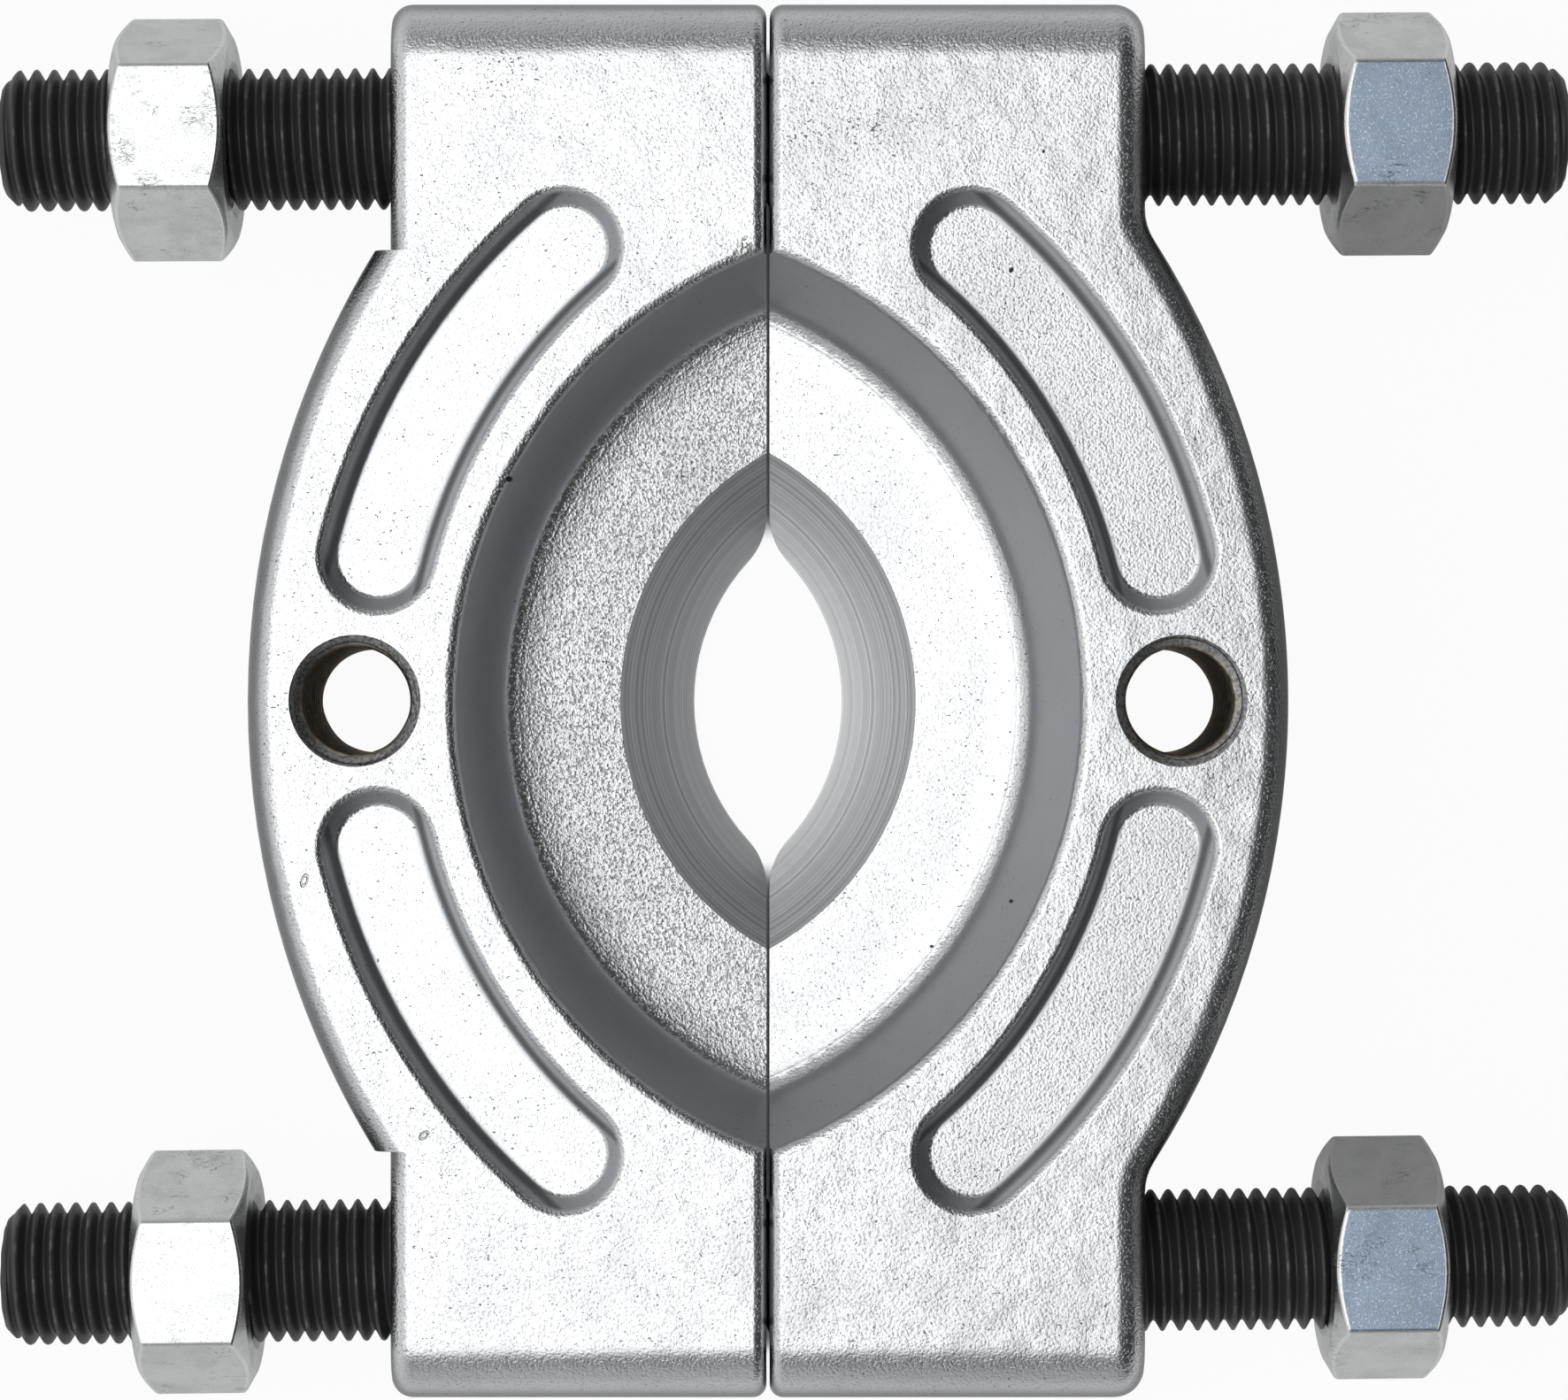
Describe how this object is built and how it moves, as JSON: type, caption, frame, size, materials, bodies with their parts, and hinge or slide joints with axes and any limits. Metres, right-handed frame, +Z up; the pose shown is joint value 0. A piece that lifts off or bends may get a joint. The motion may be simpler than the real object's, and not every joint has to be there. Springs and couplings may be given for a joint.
{
  "type": "bearing separator",
  "caption": "Split bearing separator: two forged half jaws with knife edges round a shaft opening, drawn together by threaded studs and hexagon nuts.",
  "frame": {"origin": "middle of the shaft opening, on the split between the jaws, in the plane of the flat underside", "axes": "+X along the studs from the left jaw to the right one, +Y along the split towards the rear stud, +Z up, out of the recess"},
  "size_m": [0.1763, 0.1561, 0.027],
  "materials": {
    "jaw_plating": "bright satin plating over a grained drop-forged skin, with turned cones and unplated brown tapped holes",
    "stud_black_oxide": "black oxide over a rolled thread, rubbed a little brown on the crests",
    "nut_zinc": "pale blue-white zinc plating with fine scratches and stains"
  },
  "bodies": {
    "jaw_left": {"jaw_left": "jaw_plating"},
    "jaw_right": {"jaw_right": "jaw_plating"},
    "stud_rear": {"stud_rear": "stud_black_oxide"},
    "stud_front": {"stud_front": "stud_black_oxide"},
    "nut_rear_left": {"nut_rear_left": "nut_zinc"},
    "nut_front_left": {"nut_front_left": "nut_zinc"},
    "nut_rear_right": {"nut_rear_right": "nut_zinc"},
    "nut_front_right": {"nut_front_right": "nut_zinc"}
  },
  "joints": [
    {"name": "jaw_opening", "type": "slide", "parent": "jaw_left", "child": "jaw_right", "axis": [1, 0, 0], "range_m": [0, 0.019]},
    {"name": "stud_rear_slide", "type": "slide", "parent": "jaw_left", "child": "stud_rear", "axis": [-1, -0.0051, 0], "range_m": [-0.0173, 0.014]},
    {"name": "nut_rear_left_travel", "type": "slide", "parent": "stud_rear", "child": "nut_rear_left", "axis": [1, 0.0051, 0], "range_m": [-0.0127, 0.0173]},
    {"name": "nut_rear_right_travel", "type": "slide", "parent": "stud_rear", "child": "nut_rear_right", "axis": [1, 0.0051, 0], "range_m": [-0.0208, 0.0132]},
    {"name": "stud_front_slide", "type": "slide", "parent": "jaw_left", "child": "stud_front", "axis": [-0.9999, -0.0122, 0], "range_m": [-0.0151, 0.014]},
    {"name": "nut_front_left_travel", "type": "slide", "parent": "stud_front", "child": "nut_front_left", "axis": [0.9999, 0.0122, 0], "range_m": [-0.015, 0.0151]},
    {"name": "nut_front_right_travel", "type": "slide", "parent": "stud_front", "child": "nut_front_right", "axis": [0.9999, 0.0122, 0], "range_m": [-0.0191, 0.0143]}
  ]
}
